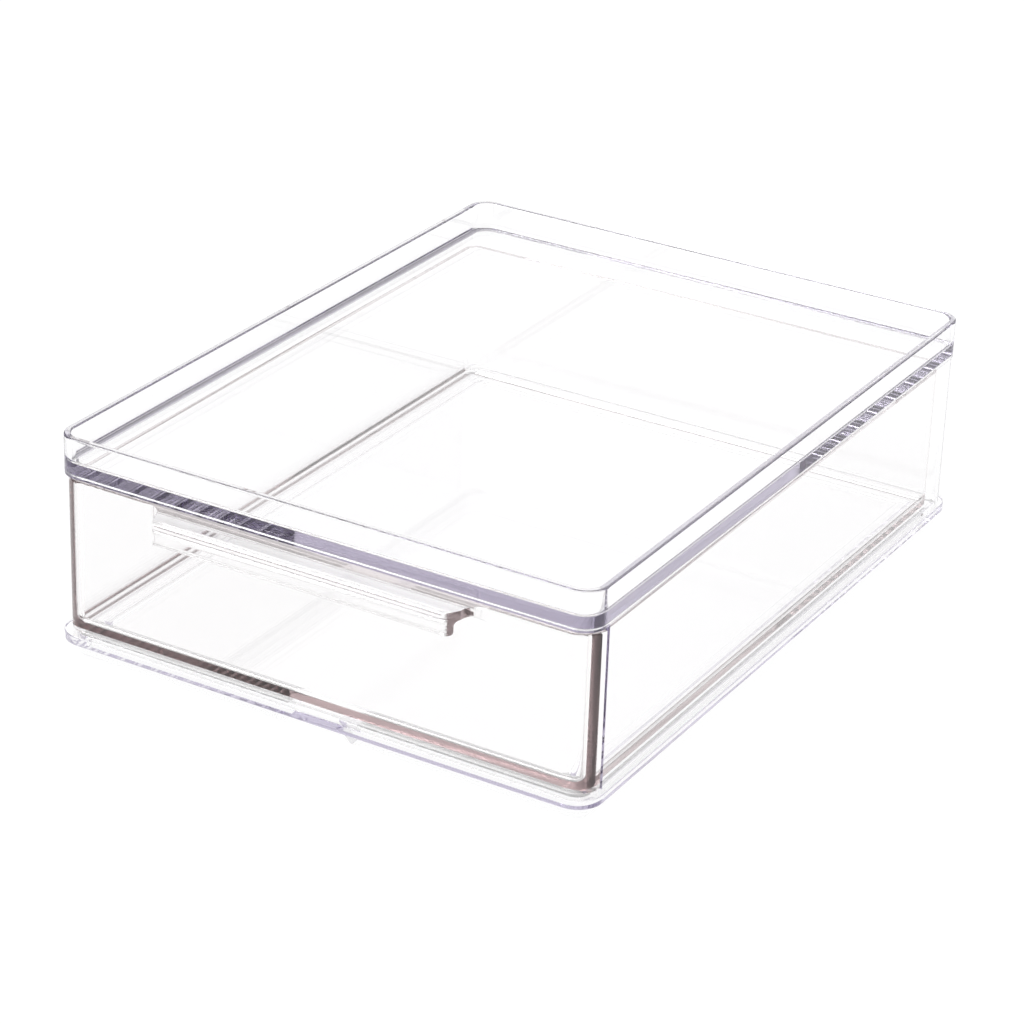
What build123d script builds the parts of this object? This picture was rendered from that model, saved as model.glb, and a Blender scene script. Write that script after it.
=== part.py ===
from build123d import *
import os

# A clear stackable drawer box: a case glued to its base, and one drawer that slides out of its front.
# Millimetres, +Z up, the drawer opens towards -Y and +X is to the right of someone who faces it.
# The origin is on the surface that the box stands on, under the middle of its whole outline.

# --- Case ---
case_width = 165.0          # outside of the rim
case_depth = 216.0          # outside of the rim, front to back
case_height = 61.0          # from the base plate's underside to the rim's top
case_corner = 6.5           # outer corner radius of the rim, in plan
rim_wall = 2.0
rim_step = 0.3              # how far the walls under the rim stand back from it
rim_edge = 0.6              # rounding of the rim's top edges
rim_height = 11.5           # height of the rim's outer band
recess_depth = 8.1          # from the rim's top down to the panel
panel_thickness = 3.1
panel_fillet = 1.5          # inside fillet above the panel
ceiling_fillet = 0.5        # inside fillet below the panel
side_wall = 2.0             # walls at the sides and the back
seam_gap = 0.05             # glue line between the walls and the base plate
wall_front_gap = 0.8        # between the drawer front's shoulder and the walls' front edges

# --- Base ---
plate_thickness = 2.6
plate_outset = 1.2          # how far the plate stands out past the rim
plate_edge = 0.3            # rounding of the plate's outer edges
foot_height = 4.5
foot_inset = 2.4            # outside of the rim to outside of the foot
foot_wall = 2.2
foot_corner = 2.0           # inner corner radius of the foot, in plan
foot_front = 9.0            # width of the foot's front run, front to back
foot_edge = 0.5             # rounding of the foot's lower edges
notch_top = 13.5            # finger notch in the front of the foot, at the plate
notch_bottom = 21.6
rail_width = 2.8
rail_height = 1.0
rail_inset = 10.0           # outside of the rim to the middle of a rail
rail_front_gap = 9.5
rail_back_gap = 11.0

# --- Drawer ---
drawer_wall = 1.4           # sides and back of the tray
drawer_floor = 1.4
front_thickness = 2.8       # from the front face to the tray's inside
drawer_side_gap = 0.7       # between the drawer's sides and the case's walls
drawer_back_gap = 9.5       # outside of the rim to the drawer's back
front_corner = 7.0          # outer corner radius of the front, in plan
tray_corner = 2.5           # inner corner radius of the tray, in plan
floor_fillet = 2.4          # inside, round the floor
tray_edge = 1.0             # rounding of the tray's lower edges
glide_gap = 0.2             # between the drawer's floor and the rails
front_setback = 0.7         # the drawer's front face behind the rim's front
front_side_gap = 0.5        # outside of the rim to the side of the front
shoulder_depth = 7.0        # how far the front's sides wrap back
front_top_gap = 1.1         # under the rim
front_bottom_gap = 0.4      # over the base plate
front_edge = 0.6            # rounding of the front's edges
side_drop = 1.3             # the tray's sides below the front's top

# --- Handle ---
handle_width = 89.0         # width of the down-turned lip
handle_root_width = 94.0    # width of the plate before its flares
handle_reach = 9.0          # from the front face to the lip's front
handle_plate = 2.6
lip_height = 6.4
lip_thickness = 2.4
lip_nose = 0.8              # rounding of the outer bend
lip_end = 0.9               # rounding of the lip's lower edge
handle_flare = 5.0          # concave plan radius where the plate meets the front
handle_fillet = 1.5         # inside bends under the plate
handle_corner = 2.0         # plan radius of the lip's ends

# --- Levels and places that follow ---
plate_outer = case_depth / 2 + plate_outset
front_face = -case_depth / 2 + front_setback
lip_front = front_face - handle_reach
y_middle = -(lip_front + plate_outer) / 2    # brings the whole outline's middle to the origin

z_plate = foot_height
z_base = z_plate + plate_thickness
z_walls = z_base + seam_gap
z_rim = foot_height + case_height
z_rim_low = z_rim - rim_height
z_panel_top = z_rim - recess_depth
z_panel = z_panel_top - panel_thickness
z_floor = z_base + rail_height + glide_gap
z_front_top = z_rim_low - front_top_gap
z_front_bottom = z_base + front_bottom_gap
z_side_top = z_front_top - side_drop
z_lip = z_front_top - lip_height

shoulder_back = front_face + shoulder_depth
wall_start = shoulder_back + wall_front_gap
wall_inside = case_width / 2 - rim_step - side_wall
tray_half = wall_inside - drawer_side_gap
tray_back = case_depth / 2 - drawer_back_gap
front_half = case_width / 2 - front_side_gap


def block(half_width, y_low, y_high, z_low, z_high, corner=0.0):
    """An upright block, with its vertical edges rounded if a corner radius is given."""
    width = 2 * half_width
    depth = y_high - y_low
    outline = RectangleRounded(width, depth, corner) if corner else Rectangle(width, depth)
    return Pos(0, (y_low + y_high) / 2, z_low) * extrude(outline, z_high - z_low)


def ring_block(inset, z_low, z_high):
    """A block that follows the rim's outline, inset by some distance."""
    half_depth = case_depth / 2 - inset
    corner = max(case_corner - inset, 1.0)
    return block(case_width / 2 - inset, -half_depth, half_depth, z_low, z_high, corner)


def round_level(solid, level, radius):
    """Round the edges at the lowest (0) or the highest (-1) level of a solid."""
    return fillet(solid.edges().group_by(Axis.Z)[level], radius)


def make_case_shell():
    """Rim, recessed top panel, two side walls and the back wall; open below and in front."""
    rim = ring_block(0, z_rim_low, z_rim)
    walls = ring_block(rim_step, z_walls, z_rim_low)
    recess = round_level(ring_block(rim_wall, z_panel_top, z_rim + 1), 0, panel_fillet)
    inside = round_level(ring_block(rim_step + side_wall, z_base - 1, z_panel), -1, ceiling_fillet)
    front_opening = block(case_width, -case_depth, wall_start, z_base - 1, z_rim_low)
    shell = rim + walls - recess - inside - front_opening
    return round_level(shell, -1, rim_edge)


def make_notch():
    """Finger notch with slanted ends, cut through the front of the foot."""
    y_start = -case_depth / 2 - 1
    y_end = -case_depth / 2 + foot_inset + foot_front + 1
    corners = [
        (-notch_bottom / 2, 0),
        (notch_bottom / 2, 0),
        (notch_top / 2, z_plate),
        (-notch_top / 2, z_plate),
    ]
    outline = Plane.XZ * make_face(Polyline(*corners, close=True))
    return Pos(0, y_end, 0) * extrude(outline, y_end - y_start)


def make_rail(side):
    """One of the two rails that the drawer glides on, with rounded ends."""
    y_low = -case_depth / 2 + rail_front_gap
    y_high = case_depth / 2 - rail_back_gap
    x_middle = side * (case_width / 2 - rail_inset)
    outline = SlotOverall(y_high - y_low, rail_width, rotation=90)
    return Pos(x_middle, (y_low + y_high) / 2, z_base) * extrude(outline, rail_height)


def make_case_base():
    """Base plate, with the foot that nests in the rim of a box below, and the drawer's rails."""
    plate = ring_block(-plate_outset, z_plate, z_base)
    plate = round_level(round_level(plate, -1, plate_edge), 0, plate_edge)
    hollow_half = case_width / 2 - foot_inset - foot_wall
    hollow_front = -case_depth / 2 + foot_inset + foot_front
    hollow_back = case_depth / 2 - foot_inset - foot_wall
    hollow = block(hollow_half, hollow_front, hollow_back, -1, z_plate, foot_corner)
    foot = round_level(ring_block(foot_inset, 0, z_plate) - hollow, 0, foot_edge)
    base = plate + (foot - make_notch())
    for side in (-1, 1):
        base += make_rail(side)
    return base


def make_front():
    """The drawer's front: a solid slab with rounded corners whose sides wrap back."""
    back = front_face + case_depth
    slab = block(front_half, front_face, back, z_front_bottom, z_front_top, front_corner)
    keep = block(case_width, front_face - 1, shoulder_back, z_front_bottom - 1, z_front_top + 1)
    front = slab & keep
    return round_level(round_level(front, -1, front_edge), 0, front_edge)


def rounded_face(corners):
    """A face with straight sides; each corner is (x, y, radius), and radius 0 leaves it sharp."""
    face = Sketch() + make_face(Polyline(*[(x, y) for x, y, radius in corners], close=True))
    for x, y, radius in corners:
        if radius:
            face = fillet(face.vertices().sort_by_distance((x, y, 0))[0], radius)
    return face


def make_handle():
    """A ledge level with the front's top, turned down at its front and flared at its root."""
    lip_back = lip_front + lip_thickness
    plate_bottom = z_front_top - handle_plate
    root = front_face + front_edge
    profile = rounded_face([
        (root, z_front_top, 0),
        (lip_front, z_front_top, lip_nose),
        (lip_front, z_lip, lip_end),
        (lip_back, z_lip, lip_end),
        (lip_back, plate_bottom, handle_fillet),
        (front_face, plate_bottom, handle_fillet),
        (front_face, z_lip, 0),
        (root, z_lip, 0),
    ])
    bar = extrude(Plane.YZ * profile, handle_root_width, both=True)

    half = handle_width / 2
    root_half = handle_root_width / 2
    flare_half = root_half + handle_flare
    flare_front = front_face - handle_flare
    plan = rounded_face([
        (-flare_half, root, 0),
        (-flare_half, flare_front, 0),
        (-root_half, flare_front, 0),
        (-half, lip_front, handle_corner),
        (half, lip_front, handle_corner),
        (root_half, flare_front, 0),
        (flare_half, flare_front, 0),
        (flare_half, root, 0),
    ])
    for side in (-1, 1):
        plan -= Pos(side * flare_half, flare_front) * Circle(handle_flare)
    return bar & (Pos(0, 0, z_lip - 1) * extrude(plan, lip_height + 2))


def make_drawer():
    """Tray, front and handle, moulded in one piece."""
    cavity_front = front_face + front_thickness
    cavity_half = tray_half - drawer_wall
    cavity_back = tray_back - drawer_wall
    cavity_bottom = z_floor + drawer_floor
    outer_corner = tray_corner + drawer_wall
    tray_front = cavity_front - drawer_wall
    tray = block(tray_half, tray_front, tray_back, z_floor, z_side_top, outer_corner)
    tray = round_level(tray, 0, tray_edge)
    cavity = block(cavity_half, cavity_front, cavity_back, cavity_bottom, z_rim, tray_corner)
    cavity = round_level(cavity, 0, floor_fillet)
    relief = block(tray_half, cavity_front, tray_back, z_base, z_floor)    # under the floor
    return tray + (make_front() - relief) + make_handle() - cavity


parts = {
    "case_shell": make_case_shell(),
    "case_base": make_case_base(),
    "drawer": make_drawer(),
}

os.makedirs("parts", exist_ok=True)
for name, solid in parts.items():
    export_step(Pos(0, y_middle, 0) * solid, f"parts/{name}.step")
    print(name, round(solid.volume), "mm3", len(solid.solids()), "solid")
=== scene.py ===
import math

import bpy
from mathutils import Matrix, Vector


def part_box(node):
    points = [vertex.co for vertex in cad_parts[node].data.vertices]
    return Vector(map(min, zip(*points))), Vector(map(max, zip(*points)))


# A clear stackable drawer box on a white studio floor. Metres, +Z up, the drawer opens towards -Y.

MM = 0.001

# --- Camera: the photograph's view of the box, as angles and a distance ---
AZIMUTH = 30.112            # degrees round from the front, towards +X
ELEVATION = 25.864
ROLL = 2.013
LENS = 120.27               # on a 36 mm sensor
SENSOR = 36.0
CLIP_START = 0.01
CLIP_END = 50.0
DISTANCE = 976.2 * MM
ASIDE = -3.317 * MM         # the camera's place across and above the line to the target
ABOVE = 15.887 * MM
TARGET_BELOW_RIM = 61.0 * MM

# --- Clear plastic ---
PLASTIC_IOR = 1.57
SHELL_TINT = (0.675, 0.642, 0.733)
BASE_TINT = (0.80, 0.775, 0.85)
DRAWER_TINT = (0.70, 0.60, 0.605)
PLASTIC_DENSITY = 12.0      # per metre
LIGHT_BOUNCES = 128         # light runs a long way inside clear walls
WAVE_SCALE = 60.0           # faint moulding waves in the surface
WAVE_DETAIL = 2.0
WAVE_STRENGTH = 0.004
WAVE_DISTANCE = 0.5 * MM

# --- Studio ---
WHITE = (1.0, 1.0, 1.0)
ROOM_STRENGTH = 1.15
ROOM_LEVELS = (             # the sine of the angle above the horizon, and the brightness there
    (0.0, 0.35),
    (0.18, 0.45),
    (0.3, 1.0),
    (0.6, 1.0),
    (0.8, 0.55),
)
ROOM_SHADE = (0.62, 0.62, 0.62)    # neutral, away from the backdrop
BACKDROP_EDGE = 0.55        # the cosine of the angle at which the backdrop ends
BACKDROP_FULL = 0.8         # and of the one at which it is at its full white
FLOOR_HALF = 3.0
PAPER = (0.95, 0.95, 0.95)
PAPER_GLOW = 1.08
PAPER_GLOW_SHARE = 0.9      # how much of the paper shows as plain white, without shadow
LAMP_PLACE = (-0.8, -0.6, 1.2)
LAMP_SIZE = 0.8
LAMP_POWER = 12.0

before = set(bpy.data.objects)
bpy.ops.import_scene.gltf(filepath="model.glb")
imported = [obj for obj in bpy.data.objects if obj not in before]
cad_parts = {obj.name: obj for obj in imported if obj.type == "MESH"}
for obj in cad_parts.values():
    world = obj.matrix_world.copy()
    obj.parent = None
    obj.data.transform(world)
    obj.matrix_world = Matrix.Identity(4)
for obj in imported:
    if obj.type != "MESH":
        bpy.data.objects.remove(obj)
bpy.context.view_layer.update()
SHELL_LOW, SHELL_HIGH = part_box("case_shell")


def make_camera():
    """A camera at the photograph's viewing angle."""
    azimuth = math.radians(AZIMUTH)
    elevation = math.radians(ELEVATION)
    roll = math.radians(ROLL)
    back = Vector((
        math.sin(azimuth) * math.cos(elevation),
        -math.cos(azimuth) * math.cos(elevation),
        math.sin(elevation),
    ))
    level_right = Vector((math.cos(azimuth), math.sin(azimuth), 0.0))
    level_up = back.cross(level_right)
    right = level_right * math.cos(roll) + level_up * math.sin(roll)
    up = level_up * math.cos(roll) - level_right * math.sin(roll)
    target = Vector((
        (SHELL_LOW.x + SHELL_HIGH.x) / 2,
        (SHELL_LOW.y + SHELL_HIGH.y) / 2,
        SHELL_HIGH.z - TARGET_BELOW_RIM,
    ))
    data = bpy.data.cameras.new("camera")
    data.sensor_width = SENSOR
    data.lens = LENS
    data.clip_start = CLIP_START
    data.clip_end = CLIP_END
    camera = bpy.data.objects.new("camera", data)
    place = target + right * ASIDE + up * ABOVE + back * DISTANCE
    turn = Matrix((right, up, back)).transposed()
    camera.matrix_world = Matrix.Translation(place) @ turn.to_4x4()
    bpy.context.scene.collection.objects.link(camera)
    bpy.context.scene.camera = camera


def new_material(name):
    """An empty node material and its output node."""
    material = bpy.data.materials.new(name)
    material.use_nodes = True
    material.node_tree.nodes.clear()
    output = material.node_tree.nodes.new("ShaderNodeOutputMaterial")
    return material, output


def clear_plastic(name, tint):
    """Polished clear plastic with faint moulding waves and a tint that deepens with the path inside."""
    material, output = new_material(name)
    nodes = material.node_tree.nodes
    link = material.node_tree.links.new
    shader = nodes.new("ShaderNodeBsdfPrincipled")
    shader.inputs["Base Color"].default_value = (*WHITE, 1.0)
    shader.inputs["Transmission Weight"].default_value = 1.0
    shader.inputs["Roughness"].default_value = 0.0
    shader.inputs["IOR"].default_value = PLASTIC_IOR
    place = nodes.new("ShaderNodeTexCoord")
    waves = nodes.new("ShaderNodeTexNoise")
    waves.inputs["Scale"].default_value = WAVE_SCALE
    waves.inputs["Detail"].default_value = WAVE_DETAIL
    bump = nodes.new("ShaderNodeBump")
    bump.inputs["Strength"].default_value = WAVE_STRENGTH
    bump.inputs["Distance"].default_value = WAVE_DISTANCE
    link(place.outputs["Object"], waves.inputs["Vector"])
    link(waves.outputs["Fac"], bump.inputs["Height"])
    link(bump.outputs["Normal"], shader.inputs["Normal"])
    link(shader.outputs["BSDF"], output.inputs["Surface"])
    inside = nodes.new("ShaderNodeVolumeAbsorption")
    inside.inputs["Color"].default_value = (*tint, 1.0)
    inside.inputs["Density"].default_value = PLASTIC_DENSITY
    link(inside.outputs["Volume"], output.inputs["Volume"])
    return material


def ray_is_direct(tree):
    """1 for rays from the camera, reflections and refractions, 0 for the light that lands on things."""
    path = tree.nodes.new("ShaderNodeLightPath")
    last = path.outputs["Is Camera Ray"]
    for kind in ("Is Glossy Ray", "Is Transmission Ray"):
        either = tree.nodes.new("ShaderNodeMath")
        either.operation = "MAXIMUM"
        tree.links.new(last, either.inputs[0])
        tree.links.new(path.outputs[kind], either.inputs[1])
        last = either.outputs["Value"]
    return last


def floor_material():
    """White paper that shows as white to the camera and through the plastic, and takes a soft shadow."""
    material, output = new_material("studio_floor")
    tree = material.node_tree
    paper = tree.nodes.new("ShaderNodeBsdfDiffuse")
    paper.inputs["Color"].default_value = (*PAPER, 1.0)
    glow = tree.nodes.new("ShaderNodeEmission")
    glow.inputs["Color"].default_value = (*WHITE, 1.0)
    glow.inputs["Strength"].default_value = PAPER_GLOW
    share = tree.nodes.new("ShaderNodeMath")
    share.operation = "MULTIPLY"
    share.inputs[1].default_value = PAPER_GLOW_SHARE
    mix = tree.nodes.new("ShaderNodeMixShader")
    tree.links.new(ray_is_direct(tree), share.inputs[0])
    tree.links.new(share.outputs["Value"], mix.inputs["Fac"])
    tree.links.new(paper.outputs["BSDF"], mix.inputs[1])
    tree.links.new(glow.outputs["Emission"], mix.inputs[2])
    tree.links.new(mix.outputs["Shader"], output.inputs["Surface"])
    return material


def make_floor():
    """A plain pale floor."""
    mesh = bpy.data.meshes.new("studio_floor")
    corners = [(x * FLOOR_HALF, y * FLOOR_HALF, 0.0) for x, y in ((-1, -1), (1, -1), (1, 1), (-1, 1))]
    mesh.from_pydata(corners, [], [(0, 1, 2, 3)])
    mesh.materials.append(floor_material())
    floor = bpy.data.objects.new("studio_floor", mesh)
    bpy.context.scene.collection.objects.link(floor)


def colour_ramp(tree, stops):
    """A ramp with a colour at each of the given positions."""
    ramp = tree.nodes.new("ShaderNodeValToRGB")
    elements = ramp.color_ramp.elements
    while len(elements) < len(stops):
        elements.new(0.5)
    for element, (position, colour) in zip(elements, stops):
        element.position = position
        element.color = (*colour, 1.0)
    return ramp


def make_world():
    """A white backdrop that stands behind the box, a dimmer neutral room, and plain white to the camera."""
    world = bpy.data.worlds.new("studio")
    bpy.context.scene.world = world
    world.use_nodes = True
    tree = world.node_tree
    tree.nodes.clear()
    output = tree.nodes.new("ShaderNodeOutputWorld")
    room = tree.nodes.new("ShaderNodeBackground")
    room.inputs["Strength"].default_value = ROOM_STRENGTH
    white = tree.nodes.new("ShaderNodeBackground")
    white.inputs["Color"].default_value = (*WHITE, 1.0)
    direction = tree.nodes.new("ShaderNodeTexCoord")
    split = tree.nodes.new("ShaderNodeSeparateXYZ")
    height = colour_ramp(tree, [(at, (level, level, level)) for at, level in ROOM_LEVELS])
    facing = tree.nodes.new("ShaderNodeVectorMath")
    facing.operation = "DOT_PRODUCT"
    azimuth = math.radians(AZIMUTH)
    facing.inputs[1].default_value = (-math.sin(azimuth), math.cos(azimuth), 0.0)
    backdrop = colour_ramp(tree, [(BACKDROP_EDGE, ROOM_SHADE), (BACKDROP_FULL, WHITE)])
    both = tree.nodes.new("ShaderNodeVectorMath")
    both.operation = "MULTIPLY"
    path = tree.nodes.new("ShaderNodeLightPath")
    mix = tree.nodes.new("ShaderNodeMixShader")
    link = tree.links.new
    link(direction.outputs["Generated"], split.inputs["Vector"])
    link(split.outputs["Z"], height.inputs["Fac"])
    link(direction.outputs["Generated"], facing.inputs[0])
    link(facing.outputs["Value"], backdrop.inputs["Fac"])
    link(height.outputs["Color"], both.inputs[0])
    link(backdrop.outputs["Color"], both.inputs[1])
    link(both.outputs["Vector"], room.inputs["Color"])
    link(path.outputs["Is Camera Ray"], mix.inputs["Fac"])
    link(room.outputs["Background"], mix.inputs[1])
    link(white.outputs["Background"], mix.inputs[2])
    link(mix.outputs["Shader"], output.inputs["Surface"])


def area_light(name, place, size, power):
    """A square soft light aimed at the box."""
    data = bpy.data.lights.new(name, "AREA")
    data.size = size
    data.energy = power
    lamp = bpy.data.objects.new(name, data)
    lamp.location = place
    lamp.rotation_mode = "QUATERNION"
    lamp.rotation_quaternion = (-Vector(place)).to_track_quat("-Z", "Y")
    bpy.context.scene.collection.objects.link(lamp)


make_camera()
make_floor()
make_world()
area_light("key_light", LAMP_PLACE, LAMP_SIZE, LAMP_POWER)

for node, tint in (("case_shell", SHELL_TINT), ("case_base", BASE_TINT), ("drawer", DRAWER_TINT)):
    plastic = clear_plastic("clear_plastic_" + node, tint)
    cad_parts[node].material_slots[0].material = plastic

bpy.context.scene.view_settings.view_transform = "Standard"
bpy.context.scene.cycles.max_bounces = LIGHT_BOUNCES
bpy.context.scene.cycles.transmission_bounces = LIGHT_BOUNCES
bpy.context.scene.cycles.glossy_bounces = LIGHT_BOUNCES
